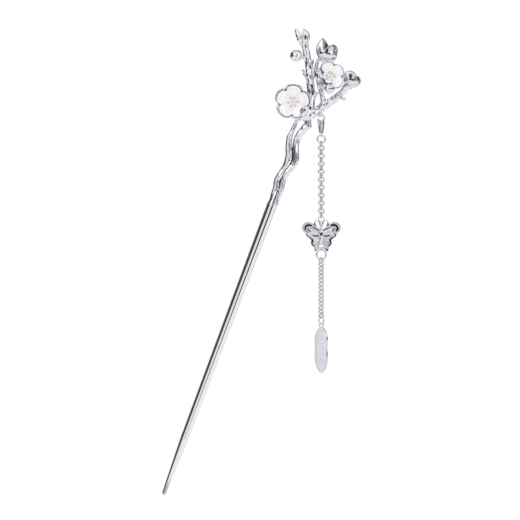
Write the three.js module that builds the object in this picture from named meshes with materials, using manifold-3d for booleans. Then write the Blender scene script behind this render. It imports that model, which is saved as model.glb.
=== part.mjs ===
// A silver hair stick. Its head is a trunk of two strands with three flowering branches, and from
// an eye under the head hang a lobster clasp, two chains, a butterfly and a leaf.
// Millimetres, +Z up, the front faces -Y. The origin is on the shaft's axis, at mid-length.
import * as THREE from 'three';
import { mergeVertices } from 'three/addons/utils/BufferGeometryUtils.js';
import Module from 'manifold-3d';

const wasm = await Module();
wasm.setup();

// Driving dimensions, in millimetres and degrees

const clearance = 0.1; // play in every joint, and the solder gap between fixed pieces

const shaft = {
  length: 115.2,
  lean: 20.55, // from vertical, towards +X
  tipDiameter: 1.2,
  lowerDiameter: 2.9, // where the point begins
  middleDiameter: 3.25,
  topDiameter: 3.7,
  pointLength: 22,
};
const peg = { diameter: 1.5, length: 2.6 }; // on the shaft's top, in the trunk's socket

const trunk = {
  leftDiameter: 2.5,
  rightDiameter: 2.5,
  leftShares: [0.9, 0.9, 0.9, 1.0, 0.95, 1.1, 1.12, 0.92, 0.84, 0.68, 0.6, 0.8], // from foot to knot
  rightShares: [0.24, 0.66, 0.8, 0.84, 1.0, 1.0, 0.96, 1.02, 1.0, 1.05, 1.1],
  knotDiameter: 4.4,
};
const twig = {
  uprightFoot: 2.9,
  uprightTip: 2.2,
  middleFoot: 1.9,
  middleTip: 1.1,
  rightFoot: 3.1,
  rightTip: 1.8,
  stub: 1.3,
};

const flowers = {
  petals: 5,
  notch: 0.22, // how far the outline dips between petals, as a share of its radius
  cupWall: 0.55,
  cupRise: 2.6, // from the middle of a cup to its rim
  shellWall: 0.8,
  postDiameter: 1.0,
  stamenHeadDiameter: 0.62,
  stamenPlate: 0.3, // the disc that carries the stamens' heads
  stamens: 6,
};
const lowerFlower = { diameter: 13.1, shellDiameter: 11.0, stamenCircle: 3.4 };
const upperFlower = { diameter: 11.2, shellDiameter: 9.6, stamenCircle: 3.0 };
const leftBudDiameter = 4.5;
const topBudLength = 4.9;
const topBudDiameter = 2.9;
const upperHalfDiameter = 8.4;
const rightHalfDiameter = 6.2;
const halfBlossom = {
  wall: 0.7,
  depth: 0.95, // height as a share of its diameter
  mouth: 0.2, // how far its hollow is raised towards the opening, as a share of its diameter
  heart: 0.52, // the closed heart's diameter, as a share of its own
  heartDrop: 0.12,
};

const eye = { meanRadius: 0.85, wire: 0.5 }; // the ring under the right branch
const hook = { meanRadius: 1.15, wire: 0.7 };
const claspBody = {
  length: 4.9,
  topWidth: 2.4,
  tailWidth: 1.5,
  thickness: 1.8,
  wall: 0.45, // of each cheek beside the lever
  rivetDrop: 3.9, // from the hook's centre down to the rivet
};
const rivetDiameter = 0.55;
const lever = { width: 0.56, eyeRadius: 0.52, top: -0.35 };
const spring = { wire: 0.13, coilDiameter: 0.5, turns: 3, length: 0.5 };
const tailEye = { meanRadius: 0.72, wire: 0.5 };
const claspRing = { meanRadius: 1.47, wire: 0.55 };
const link = { meanRadius: 1.03, wire: 0.5 };
const upperLinks = 19;
const lowerLinks = 15;
const upperTurn = 18; // degrees the upper chain is twisted out of square with the front
const lowerTurn = 45;

const butterfly = {
  span: 14.4,
  thickness: 1.1,
  bodyDiameter: 1.5,
  eyeRadius: 1.05,
  eyeWire: 0.5,
  footEyeRadius: 0.7,
  footEyeWire: 0.4,
  antennaWire: 0.65,
  recessWidth: 0.6,
  grooveWidth: 0.35,
  holeDiameter: 0.75, // through the middle of its body
  recessFloor: 0.4, // metal left behind each recess
};
const lowerRing = { meanRadius: 1.85, wire: 0.6, turn: 18 };
const leafRing = { meanRadius: 1.4, wire: 0.5, turn: 50 };
const leaf = { length: 17.3, width: 4.95, waist: 0.9, thickness: 1.0, eyeRadius: 0.85, eyeWire: 0.5 };

// Places, from the shaft's top: x to the right, y towards the back, z up

const places = {
  foot: [[0, 0, 0], [1.1, 0, 3.0], [2.1, 0, 6.0]],
  leftStrand: [
    [0.2, 0.2, 1.6], [0.6, 0.1, 3.6], [1.5, 0, 6.3], [1.9, 0, 9.2], [3.9, 0.1, 12.3], [5.7, 0.2, 15.5],
    [6.5, 0.2, 18.6], [6.2, 0.1, 21.7], [6.5, 0, 24.9], [7.8, -0.1, 28.0], [9.5, -0.1, 31.4],
    [11.2, 0, 33.2],
  ],
  rightStrand: [
    [1.9, -0.9, -0.3], [2.3, -0.5, 2.4], [3.5, -0.2, 5.8], [4.1, -0.1, 8.9], [5.7, 0, 12.1],
    [7.9, 0, 14.7], [9.0, 0, 17.6], [8.8, 0, 20.7], [9.2, 0, 24.1], [10.9, 0, 27.0], [13.1, 0, 29.6],
  ],
  stub: [[13.4, 0, 28.8], [13.3, 0, 31.0], [12.8, 0, 33.2]],
  knot: [12.6, 0, 33.6],
  upright: [
    [13.3, 0, 34.6], [14.6, 0.3, 40.0], [14.3, 0.3, 46.1], [13.9, 0, 51.7], [12.9, 0, 56.3],
    [12.2, 0, 60.0],
  ],
  leftTwig: [[13.6, 0, 53.4], [12.2, -0.4, 54.4], [10.4, -0.5, 55.2]],
  leftBud: [8.8, -0.5, 55.5],
  hookStub: [[14.2, 0, 47.2], [12.6, -0.5, 48.2], [11.5, -0.6, 50.2]],
  rightStub: [[13.9, 0, 51.8], [14.9, 0, 52.9], [15.3, 0, 54.0]],
  topBud: [12.1, 0, 60.2],
  right: [
    [12.8, 0, 32.9], [16.6, 0.6, 34.9], [20.4, 0.6, 37.6], [23.8, 0.4, 39.8], [26.4, 0.2, 42.1],
    [28.0, 0, 44.4],
  ],
  forkStub: [[23.4, 0.3, 39.7], [25.4, -0.2, 39.7], [27.0, -0.4, 39.4]],
  middle: [
    [19.6, 0.6, 37.2], [18.4, 0.9, 41.6], [17.2, 1.1, 45.6], [16.3, 1.0, 49.6], [17.0, 0.6, 53.2],
    [18.6, 0, 55.0],
  ],
  curledTwig: [[18.3, 0.8, 42.0], [16.9, 0.2, 41.6], [16.3, -0.2, 40.6]],
  upperStem: [[17.3, 1.0, 45.4], [19.4, 0.6, 46.4], [21.4, -0.2, 47.2]],
  lowerStem: [[12.4, 0, 33.8], [10.6, -0.1, 36.2], [8.8, -0.5, 38.2]],
  lowerFlower: [7.8, -1.2, 38.5],
  upperFlower: [21.5, -1.3, 48.0],
  upperHalf: [20.4, -0.6, 57.4],
  rightHalf: [30.1, 0.8, 46.7],
  eye: [18.35, 0, 32.85], // the wire's centre at the bottom of the eye
};
const facing = {
  lowerFlower: [-0.12, -1, -0.05],
  upperFlower: [0.16, -1, 0.02],
  upperHalf: [0.25, -0.62, 0.75],
  rightHalf: [0.12, -0.62, 0.78],
};

// Finishes

const silver = () => new THREE.MeshStandardMaterial({ color: '#e9e7ee', metalness: 1, roughness: 0.12 });
const oxidised = () => new THREE.MeshStandardMaterial({ color: '#b9b8c2', metalness: 1, roughness: 0.3 });
const frosted = () => new THREE.MeshStandardMaterial({ color: '#e3e0ea', metalness: 1, roughness: 0.45 });
const shell = () => new THREE.MeshStandardMaterial({ color: '#f6f4f0', metalness: 0, roughness: 0.3 });
const cream = () => new THREE.MeshStandardMaterial({ color: '#cdbf9f', metalness: 0.4, roughness: 0.4 });

// Shapes

const rad = THREE.MathUtils.degToRad;
const lerp = THREE.MathUtils.lerp;
const yAxis = new THREE.Vector3(0, 1, 0);
const zAxis = new THREE.Vector3(0, 0, 1);

const vector = (point) => new THREE.Vector3(...point);
const curveThrough = (points) => new THREE.CatmullRomCurve3(points.map(vector), false, 'centripetal');

function closedGeometry(positions, faces) {
  const geometry = new THREE.BufferGeometry();
  geometry.setAttribute('position', new THREE.Float32BufferAttribute(positions, 3));
  geometry.setIndex(faces);
  return geometry;
}

function toSolid(geometry) {
  const bare = geometry.clone();
  bare.deleteAttribute('normal');
  bare.deleteAttribute('uv');
  const merged = mergeVertices(bare);
  const vertProperties = new Float32Array(merged.attributes.position.array);
  const triVerts = new Uint32Array(merged.index.array);
  return new wasm.Manifold(new wasm.Mesh({ numProp: 3, vertProperties, triVerts }));
}

function fromSolid(solid) {
  const { vertProperties, triVerts } = solid.getMesh();
  return closedGeometry(Array.from(vertProperties), Array.from(triVerts));
}

function join(...geometries) {
  const solids = geometries.map(toSolid);
  return fromSolid(solids.reduce((whole, piece) => whole.add(piece)));
}

function cut(geometry, ...tools) {
  return fromSolid(tools.map(toSolid).reduce((left, tool) => left.subtract(tool), toSolid(geometry)));
}

// A round bar along a curve. radiusAt(share) is its radius at that share of the curve's length.
function bar(curve, radiusAt, steps, sides) {
  const { normals, binormals } = curve.computeFrenetFrames(steps, false);
  const positions = [];
  const faces = [];
  for (let step = 0; step <= steps; step++) {
    const centre = curve.getPointAt(step / steps);
    const radius = radiusAt(step / steps);
    for (let side = 0; side < sides; side++) {
      const angle = (2 * Math.PI * side) / sides;
      const point = centre.clone();
      point.addScaledVector(normals[step], radius * Math.cos(angle));
      point.addScaledVector(binormals[step], radius * Math.sin(angle));
      positions.push(...point.toArray());
    }
  }
  const first = positions.length / 3;
  positions.push(...curve.getPointAt(0).toArray(), ...curve.getPointAt(1).toArray());
  for (let side = 0; side < sides; side++) {
    const next = (side + 1) % sides;
    for (let step = 0; step < steps; step++) {
      const here = step * sides;
      const above = here + sides;
      faces.push(here + side, here + next, above + next, here + side, above + next, above + side);
    }
    const end = steps * sides;
    faces.push(first, next, side, first + 1, end + side, end + next);
  }
  return closedGeometry(positions, faces);
}

const evenBar = (curve, diameter, steps, sides) => bar(curve, () => diameter / 2, steps, sides);
const taperedBar = (points, foot, tip, steps, sides = 8) =>
  bar(curveThrough(points), (share) => lerp(foot, tip, share) / 2, steps, sides);

function ball(centre, diameter, stretch = [1, 1, 1], sectors = 10, rows = 6) {
  const geometry = new THREE.SphereGeometry(diameter / 2, sectors, rows);
  geometry.scale(...stretch);
  return geometry.translate(...centre);
}

// A wire ring in the XZ plane, turned about Z.
function ring(meanRadius, wire, turn = 0, segments = 12, sides = 6) {
  const geometry = new THREE.TorusGeometry(meanRadius, wire / 2, sides, segments);
  return geometry.rotateX(Math.PI / 2).rotateZ(rad(turn));
}

// A turned piece about Z, from [radius, z] pairs that start and end on the axis.
function turned(profile, segments = 16) {
  const points = profile.map(([radius, z]) => new THREE.Vector2(radius, z));
  return new THREE.LatheGeometry(points, segments).rotateX(Math.PI / 2);
}

// A rod along an axis of its own, between two points.
function rod(from, to, diameter, sides = 12) {
  const span = vector(to).sub(vector(from));
  const geometry = new THREE.CylinderGeometry(diameter / 2, diameter / 2, span.length(), sides);
  geometry.applyQuaternion(new THREE.Quaternion().setFromUnitVectors(yAxis, span.clone().normalize()));
  return geometry.translate(...vector(from).addScaledVector(span, 0.5).toArray());
}

// A flat plate in the XZ plane, its thickness along Y.
function plate(shape, thickness, curveSegments = 5) {
  const geometry = new THREE.ExtrudeGeometry(shape, {
    depth: thickness,
    bevelEnabled: false,
    curveSegments,
  });
  return geometry.translate(0, 0, -thickness / 2).rotateX(Math.PI / 2);
}

const lean = new THREE.Vector3(Math.sin(rad(shaft.lean)), 0, Math.cos(rad(shaft.lean)));
const shaftTop = lean.clone().multiplyScalar(shaft.length / 2);

// Shaft

function shaftGeometry() {
  const half = shaft.length / 2;
  const tip = shaft.tipDiameter / 2;
  return turned([
    [0, -half],
    [tip * 0.6, -half + tip * 0.2],
    [tip, -half + tip],
    [lerp(tip, shaft.lowerDiameter / 2, 0.62), -half + shaft.pointLength * 0.55],
    [shaft.lowerDiameter / 2, -half + shaft.pointLength],
    [shaft.middleDiameter / 2, 0],
    [shaft.topDiameter / 2, half - clearance],
    [peg.diameter / 2, half - clearance],
    [peg.diameter / 2, half + peg.length],
    [0, half + peg.length],
  ]);
}

// Trunk: two wavy strands side by side, a round foot, a knot and a stub

// A bar whose thickness follows a list of shares of its diameter, evenly spread along it.
function strand(points, diameter, shares, grow) {
  const radiusAt = (share) => {
    const place = share * (shares.length - 1);
    const before = Math.min(Math.floor(place), shares.length - 2);
    return (diameter / 2) * lerp(shares[before], shares[before + 1], place - before) + grow;
  };
  return bar(curveThrough(points), radiusAt, 30, 8);
}

function trunkGeometry(grow = 0) {
  const { leftDiameter, rightDiameter, leftShares, rightShares, knotDiameter } = trunk;
  const footRadius = (share) => lerp(shaft.topDiameter / 2, leftDiameter * 0.4, share) + grow;
  const socketEnd = lean.clone().multiplyScalar(peg.length + clearance);
  const whole = join(
    strand(places.leftStrand, leftDiameter, leftShares, grow),
    strand(places.rightStrand, rightDiameter, rightShares, grow),
    bar(curveThrough(places.foot), footRadius, 5, 12),
    taperedBar(places.stub, rightDiameter + 2 * grow, rightDiameter + 2 * grow, 4),
    ball(places.knot, knotDiameter + 2 * grow, [1, 0.9, 1.1]),
    taperedBar(places.lowerStem, twig.uprightFoot + 2 * grow, twig.uprightTip + 2 * grow, 5),
  );
  const below = rod(lean.clone().multiplyScalar(-3).toArray(), [0, 0, 0], 2 * shaft.topDiameter);
  const socket = rod(
    lean.clone().multiplyScalar(-1).toArray(),
    socketEnd.toArray(),
    peg.diameter + 2 * clearance,
  );
  return cut(whole, below, socket);
}

// Branches

function uprightGeometry(grow = 0) {
  const { uprightFoot, uprightTip, stub } = twig;
  return join(
    taperedBar(places.upright, uprightFoot + 2 * grow, uprightTip + 2 * grow, 18),
    taperedBar(places.leftTwig, stub + 2 * grow, stub * 0.8 + 2 * grow, 5, 6),
    taperedBar(places.hookStub, stub + 2 * grow, stub * 0.6 + 2 * grow, 6, 6),
    taperedBar(places.rightStub, stub + 2 * grow, stub * 0.6 + 2 * grow, 4, 6),
  );
}

function rightGeometry(grow = 0) {
  const { rightFoot, rightTip, stub } = twig;
  return join(
    taperedBar(places.right, rightFoot + 2 * grow, rightTip + 2 * grow, 16),
    taperedBar(places.forkStub, stub + 2 * grow, stub * 0.6 + 2 * grow, 5, 6),
  );
}

function middleGeometry(grow = 0) {
  const { middleFoot, middleTip, stub } = twig;
  return join(
    taperedBar(places.middle, middleFoot + 2 * grow, middleTip + 2 * grow, 16),
    taperedBar(places.curledTwig, stub + 2 * grow, stub * 0.6 + 2 * grow, 5, 6),
    taperedBar(places.upperStem, stub + 2 * grow, stub * 0.8 + 2 * grow, 5, 6),
  );
}

// Buds and half-open blossoms

function topBudGeometry() {
  const radius = topBudDiameter / 2;
  const profile = [
    [0, 0],
    [radius * 0.55, topBudLength * 0.12],
    [radius, topBudLength * 0.42],
    [radius * 0.8, topBudLength * 0.7],
    [radius * 0.3, topBudLength * 0.92],
    [0, topBudLength],
  ];
  const bud = turned(profile, 10).rotateY(rad(6));
  const sepal = turned(profile, 8).scale(0.5, 0.6, 1.1).rotateY(rad(-32));
  return join(bud, sepal);
}

function leftBudGeometry() {
  const radius = leftBudDiameter / 2;
  const calyx = [[0, -1.07], [0.22, -1.07], [0.67, -0.67], [0.53, -0.27], [0, -0.27]];
  const profile = calyx.map(([out, up]) => [out * radius, up * radius]);
  return join(ball([0, 0, 0], leftBudDiameter), turned(profile, 8).rotateY(rad(-78)));
}

// A cup open towards +Z with a closed heart inside it.
function halfBlossomGeometry(diameter) {
  const { wall, depth, mouth, heart, heartDrop } = halfBlossom;
  const outer = ball([0, 0, 0], diameter, [1, 1, depth], 12, 8);
  const inner = ball([0, 0, diameter * mouth], diameter - 2 * wall, [0.92, 0.92, 1], 12, 6);
  const core = ball([0, 0, -diameter * heartDrop], diameter * heart, [1, 1, depth], 8, 5);
  return join(cut(outer, inner), core);
}

// Open flowers: a petalled dish faces +Z, its wall rises from the middle to the rim

const outline = (angle) =>
  1 - flowers.notch * (1 - Math.abs(Math.cos((flowers.petals * angle) / 2)));
const rise = (radius, flower) => flowers.cupRise * ((2 * radius) / flower.diameter) ** 2;

function dish(flower, rimRadius, holeRadius, floor, wall) {
  const rings = 3;
  const sectors = 4 * flowers.petals;
  const positions = [];
  const faces = [];
  for (const lift of [wall, 0]) {
    for (let row = 0; row <= rings; row++) {
      for (let sector = 0; sector < sectors; sector++) {
        const angle = (2 * Math.PI * sector) / sectors;
        const radius = lerp(holeRadius, rimRadius * outline(angle), row / rings);
        const z = floor + rise(radius, flower) + lift;
        positions.push(radius * Math.cos(angle), radius * Math.sin(angle), z);
      }
    }
  }
  const back = (rings + 1) * sectors;
  const quad = (a, b, c, d) => faces.push(a, b, c, a, c, d);
  for (let sector = 0; sector < sectors; sector++) {
    const next = (sector + 1) % sectors;
    for (let row = 0; row < rings; row++) {
      const inner = row * sectors;
      const outer = inner + sectors;
      quad(inner + sector, outer + sector, outer + next, inner + next);
      quad(back + inner + sector, back + inner + next, back + outer + next, back + outer + sector);
    }
    const rim = rings * sectors;
    quad(rim + sector, back + rim + sector, back + rim + next, rim + next);
    quad(sector, next, back + next, back + sector);
  }
  return closedGeometry(positions, faces);
}

const cupGeometry = (flower) =>
  dish(flower, flower.diameter / 2, flowers.postDiameter / 2 + clearance, 0, flowers.cupWall);

const shellFloor = flowers.cupWall + clearance;
const shellGeometry = (flower) =>
  dish(flower, flower.shellDiameter / 2, flowers.postDiameter / 2 + clearance, shellFloor, flowers.shellWall);

function stamenGeometry(flower) {
  const { postDiameter, stamenHeadDiameter, stamenPlate, stamens, shellWall } = flowers;
  const circle = flower.stamenCircle / 2;
  const seat = shellFloor + shellWall + rise(circle + stamenHeadDiameter, flower) + clearance;
  const pieces = [
    rod([0, 0, 0], [0, 0, seat + stamenPlate / 2], postDiameter, 8),
    rod([0, 0, seat], [0, 0, seat + stamenPlate], 2 * circle, 10),
    ball([0, 0, seat + stamenPlate], stamenHeadDiameter, [1, 1, 1], 6, 4),
  ];
  for (let number = 0; number < stamens; number++) {
    const angle = (2 * Math.PI * number) / stamens;
    const centre = [circle * Math.cos(angle), circle * Math.sin(angle), seat + stamenPlate / 2];
    pieces.push(ball(centre, stamenHeadDiameter, [1, 1, 1], 6, 4));
  }
  return join(...pieces);
}

// Clasp, with its origin at the hook's centre

const claspTop = -hook.meanRadius + hook.wire / 2;
const claspFoot = claspTop - claspBody.length;
const rivetAt = [0.1, 0, -claspBody.rivetDrop];
const leverSlot = claspBody.thickness - 2 * claspBody.wall;
const spine = 0.45; // the solid side of the body, on the right

function claspBodyGeometry() {
  const top = claspBody.topWidth / 2;
  const tail = claspBody.tailWidth / 2;
  const side = new THREE.Shape();
  side.moveTo(-top, claspTop);
  side.lineTo(top, claspTop);
  side.quadraticCurveTo(top, (claspTop + claspFoot) / 2, tail, claspFoot);
  side.lineTo(-tail, claspFoot);
  side.quadraticCurveTo(-top, (claspTop + claspFoot) / 2, -top, claspTop);
  const block = plate(side, claspBody.thickness);
  const slotFloor = rivetAt[2] - lever.eyeRadius - spring.length - 4 * clearance;
  const slot = new THREE.BoxGeometry(2 * top, leverSlot, claspTop - slotFloor + 1);
  slot.translate(-spine, 0, (claspTop + slotFloor + 1) / 2);
  const halfRivet = claspBody.thickness;
  const hole = rod(
    [rivetAt[0], -halfRivet, rivetAt[2]],
    [rivetAt[0], halfRivet, rivetAt[2]],
    rivetDiameter + 2 * clearance,
    8,
  );
  const arcStart = rad(-62);
  const arcEnd = rad(172);
  const arc = [];
  for (let share = 0; share <= 1; share += 0.125) {
    const angle = lerp(arcStart, arcEnd, share);
    arc.push([hook.meanRadius * Math.cos(angle), 0, hook.meanRadius * Math.sin(angle)]);
  }
  const tailRing = ring(tailEye.meanRadius, tailEye.wire, 90);
  tailRing.translate(0, 0, claspFoot - tailEye.meanRadius);
  return join(cut(block, slot, hole), evenBar(curveThrough(arc), hook.wire, 12, 6), tailRing);
}

function leverGeometry() {
  const half = lever.width / 2;
  const [pivotX, , pivotZ] = rivetAt;
  const shape = new THREE.Shape();
  const left = -hook.meanRadius - half;
  shape.moveTo(left, lever.top);
  shape.lineTo(left + lever.width, lever.top);
  shape.quadraticCurveTo(left + lever.width + 0.1, claspTop - 0.8, pivotX + lever.eyeRadius, pivotZ);
  shape.absarc(pivotX, pivotZ, lever.eyeRadius, 0, -Math.PI, true);
  shape.quadraticCurveTo(left - 0.2, pivotZ + 1.4, left, lever.top);
  const pin = new THREE.Path();
  pin.absarc(pivotX, pivotZ, rivetDiameter / 2 + clearance, 0, 2 * Math.PI, false);
  shape.holes.push(pin);
  return plate(shape, leverSlot - 2 * clearance);
}

function rivetGeometry() {
  const reach = claspBody.thickness / 2;
  return rod([rivetAt[0], -reach, rivetAt[2]], [rivetAt[0], reach, rivetAt[2]], rivetDiameter);
}

// A small compression spring between the lever's foot and the floor of its slot.
function springGeometry() {
  const top = rivetAt[2] - lever.eyeRadius - clearance - spring.wire;
  const radius = (spring.coilDiameter - spring.wire) / 2;
  const points = [];
  const perTurn = 6;
  for (let step = 0; step <= spring.turns * perTurn; step++) {
    const angle = (2 * Math.PI * step) / perTurn;
    const z = top - (spring.length * step) / (spring.turns * perTurn);
    points.push([rivetAt[0] + radius * Math.cos(angle), radius * Math.sin(angle), z]);
  }
  return evenBar(curveThrough(points), spring.wire, spring.turns * perTurn, 4);
}

// Butterfly, with its origin in the hole through its body

const halfSpan = butterfly.span / 2;
const topEyeHeight = 5.6;
const footEyeHeight = -5.75;

function wing(side) {
  const shape = new THREE.Shape();
  const x = (share) => side * share * halfSpan;
  shape.moveTo(x(-0.04), 2.9);
  shape.lineTo(x(0.12), 1.9);
  shape.quadraticCurveTo(x(0.4), 4.1, x(0.67), 4.55);
  shape.quadraticCurveTo(x(0.98), 4.5, x(1), 2.2);
  shape.quadraticCurveTo(x(0.98), 0.8, x(0.79), 0.15);
  shape.quadraticCurveTo(x(0.8), -1.1, x(0.59), -1.7);
  shape.quadraticCurveTo(x(0.47), -2.4, x(0.54), -3.2);
  shape.quadraticCurveTo(x(0.52), -4.4, x(0.38), -4.7);
  shape.quadraticCurveTo(x(0.44), -6.0, x(0.33), -6.5);
  shape.quadraticCurveTo(x(0.24), -6.6, x(0.21), -5.7);
  shape.lineTo(x(-0.04), -5.35);
  shape.lineTo(x(-0.04), -4.85);
  shape.quadraticCurveTo(x(0.13), -4.95, x(0.13), -4.5);
  shape.quadraticCurveTo(x(0.1), -4.0, x(-0.04), -4.0);
  shape.closePath();
  return plate(shape, butterfly.thickness, 3);
}

// The deep recess near the wing's tip and the groove between the upper and lower wing.
function wingRecesses(side) {
  const x = (share) => side * share * halfSpan;
  const tip = curveThrough([
    [x(0.6), 0, 3.2], [x(0.76), 0, 3.15], [x(0.84), 0, 2.2], [x(0.8), 0, 1.4],
  ]);
  const gap = curveThrough([[x(0.2), 0, -0.6], [x(0.3), 0, -0.68], [x(0.42), 0, -0.6]]);
  const { thickness, recessWidth, grooveWidth, recessFloor } = butterfly;
  const reach = thickness - recessFloor; // how deep each bar's underside lies below the front face
  const sunk = (curve, width, steps) =>
    evenBar(curve, width, steps, 6)
      .scale(1, (2 * reach) / width, 1)
      .translate(0, -thickness / 2, 0);
  return [sunk(tip, recessWidth, 6), sunk(gap, grooveWidth, 3)];
}

function butterflyGeometry() {
  const { bodyDiameter, thickness, eyeRadius, eyeWire, footEyeRadius, footEyeWire } = butterfly;
  const antenna = (side) =>
    evenBar(
      curveThrough([
        [side * 0.25, 0, 2.6], [side * 0.6, 0, 4.2], [side * 1.3, 0, 5.1], [side * 2.3, 0, 4.7],
        [side * 2.5, 0, 3.7], [side * 2.0, 0, 3.1],
      ]),
      butterfly.antennaWire,
      8,
      5,
    );
  const body = ball([0, 0, -0.6], bodyDiameter, [1, 1, 4.6], 8, 8);
  const whole = join(
    wing(1),
    wing(-1),
    body,
    antenna(1),
    antenna(-1),
    ring(eyeRadius, eyeWire).translate(0, 0, topEyeHeight),
    ring(footEyeRadius, footEyeWire, 90).translate(0, 0, footEyeHeight),
  );
  const hole = rod([0, -thickness, 0], [0, thickness, 0], butterfly.holeDiameter, 8);
  return cut(whole, hole, ...wingRecesses(1), ...wingRecesses(-1));
}

// Leaf, with its origin at the top of its blade

function leafGeometry() {
  const { length, width, waist, thickness, eyeRadius, eyeWire } = leaf;
  const half = width / 2;
  const shape = new THREE.Shape();
  shape.moveTo(0, 0.2);
  shape.bezierCurveTo(half * 0.8, -0.8, half, -length * 0.2, half, -length * 0.3);
  shape.quadraticCurveTo(half * waist, -length * 0.48, half * 0.97, -length * 0.64);
  shape.bezierCurveTo(half, -length * 0.85, half * 0.5, -length * 0.98, half * 0.05, -length);
  shape.bezierCurveTo(-half * 0.6, -length * 0.98, -half, -length * 0.8, -half, -length * 0.64);
  shape.quadraticCurveTo(-half * waist, -length * 0.48, -half, -length * 0.34);
  shape.bezierCurveTo(-half, -length * 0.15, -half * 0.6, -0.8, 0, 0.2);
  const blade = plate(shape, thickness, 6);
  return join(blade, ring(eyeRadius, eyeWire).translate(0, 0, eyeRadius - eyeWire / 2));
}

// Assembly

const pin = new THREE.Group();

function add(name, geometry, material, group = pin) {
  const mesh = new THREE.Mesh(geometry, material);
  mesh.name = name;
  group.add(mesh);
  return mesh;
}

// Turns a piece's own +Z to a direction and moves it to a place.
function aim(mesh, place, direction = [0, 0, 1]) {
  mesh.position.set(...place);
  mesh.quaternion.setFromUnitVectors(zAxis, vector(direction).normalize());
  return mesh;
}

// Cuts a placed piece clear of solids given in its parent's frame.
function clearOf(mesh, ...rooms) {
  mesh.updateMatrix();
  const inverse = mesh.matrix.clone().invert();
  mesh.geometry = cut(mesh.geometry, ...rooms.map((room) => room.clone().applyMatrix4(inverse)));
}

add('pin_shaft', shaftGeometry(), silver()).rotation.y = rad(shaft.lean);

const head = new THREE.Group();
head.position.copy(shaftTop);
pin.add(head);

const trunkRoom = trunkGeometry(clearance);
const rightRoom = rightGeometry(clearance);
const uprightRoom = uprightGeometry(clearance);
const middleRoom = middleGeometry(clearance);
add('twisted_trunk', trunkGeometry(), silver(), head);
add('right_branch', cut(rightGeometry(), trunkRoom), silver(), head);
add('upright_branch', cut(uprightGeometry(), trunkRoom, rightRoom), silver(), head);
add('middle_branch', cut(middleGeometry(), trunkRoom, rightRoom, uprightRoom), silver(), head);

const hangingEye = add('hanging_eye', ring(eye.meanRadius, eye.wire, 90), silver(), head);
hangingEye.position.set(places.eye[0], 0, places.eye[2] + eye.meanRadius);
clearOf(hangingEye, rightRoom);

const leftBud = aim(add('left_bud', leftBudGeometry(), silver(), head), places.leftBud);
clearOf(leftBud, uprightRoom);
const topBud = aim(add('top_bud', topBudGeometry(), silver(), head), places.topBud);
clearOf(topBud, uprightRoom);

for (const [name, flower] of [['lower', lowerFlower], ['upper', upperFlower]]) {
  const place = places[`${name}Flower`];
  const direction = facing[`${name}Flower`];
  const cup = aim(add(`${name}_flower_cup`, cupGeometry(flower), silver(), head), place, direction);
  clearOf(cup, trunkRoom, middleRoom);
  aim(add(`${name}_shell_blossom`, shellGeometry(flower), shell(), head), place, direction);
  const stamens = add(`${name}_stamens`, stamenGeometry(flower), cream(), head);
  clearOf(aim(stamens, place, direction), trunkRoom, middleRoom);
}

const upperHalf = add('upper_half_blossom', halfBlossomGeometry(upperHalfDiameter), silver(), head);
clearOf(aim(upperHalf, places.upperHalf, facing.upperHalf), middleRoom);
const rightHalf = add('right_half_blossom', halfBlossomGeometry(rightHalfDiameter), silver(), head);
clearOf(aim(rightHalf, places.rightHalf, facing.rightHalf), rightRoom);

// What hangs: each ring's top wire lies just over the wire that carries it

const dangle = new THREE.Group();
dangle.position.set(...places.eye);
head.add(dangle);

// The centre of a ring hung on a wire, and the wire at a hung ring's bottom.
const hungOn = (carrier, ringSize) =>
  carrier.z + (carrier.wire + ringSize.wire) / 2 + clearance - ringSize.meanRadius;
const foot = (z, ringSize) => ({ z: z - ringSize.meanRadius, wire: ringSize.wire });

function hang(name, geometry, material, z) {
  add(name, geometry, material, dangle).position.z = z;
}

const hookZ = hungOn({ z: 0, wire: eye.wire }, hook);
hang('clasp_body', claspBodyGeometry(), silver(), hookZ);
hang('clasp_lever', leverGeometry(), silver(), hookZ);
hang('clasp_rivet', rivetGeometry(), silver(), hookZ);
hang('clasp_spring', springGeometry(), silver(), hookZ);

let carrier = foot(hookZ + claspFoot - tailEye.meanRadius, tailEye);

function hangRing(name, size, turn) {
  const z = hungOn(carrier, size);
  hang(name, ring(size.meanRadius, size.wire, turn), silver(), z);
  carrier = foot(z, size);
}

function hangChain(prefix, count, turn) {
  for (let number = 1; number <= count; number++) {
    const square = number % 2 === 1 ? 90 : 0;
    hangRing(`${prefix}_link_${String(number).padStart(2, '0')}`, link, square + turn);
  }
}

hangRing('clasp_ring', claspRing, 0);
hangChain('upper', upperLinks, upperTurn);

const topEye = { meanRadius: butterfly.eyeRadius, wire: butterfly.eyeWire };
const butterflyZ = hungOn(carrier, topEye) - topEyeHeight;
hang('butterfly', butterflyGeometry(), oxidised(), butterflyZ);
carrier = { z: butterflyZ + footEyeHeight - butterfly.footEyeRadius, wire: butterfly.footEyeWire };

hangRing('butterfly_ring', lowerRing, lowerRing.turn);
hangChain('lower', lowerLinks, lowerTurn);
hangRing('leaf_ring', leafRing, leafRing.turn);

const leafEye = { meanRadius: leaf.eyeRadius, wire: leaf.eyeWire };
const leafZ = hungOn(carrier, leafEye) - leaf.eyeRadius + leaf.eyeWire / 2;
hang('leaf', leafGeometry(), frosted(), leafZ);

export default pin;
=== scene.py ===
import math

import bmesh
import bpy
import numpy as np
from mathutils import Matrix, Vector, noise


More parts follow.
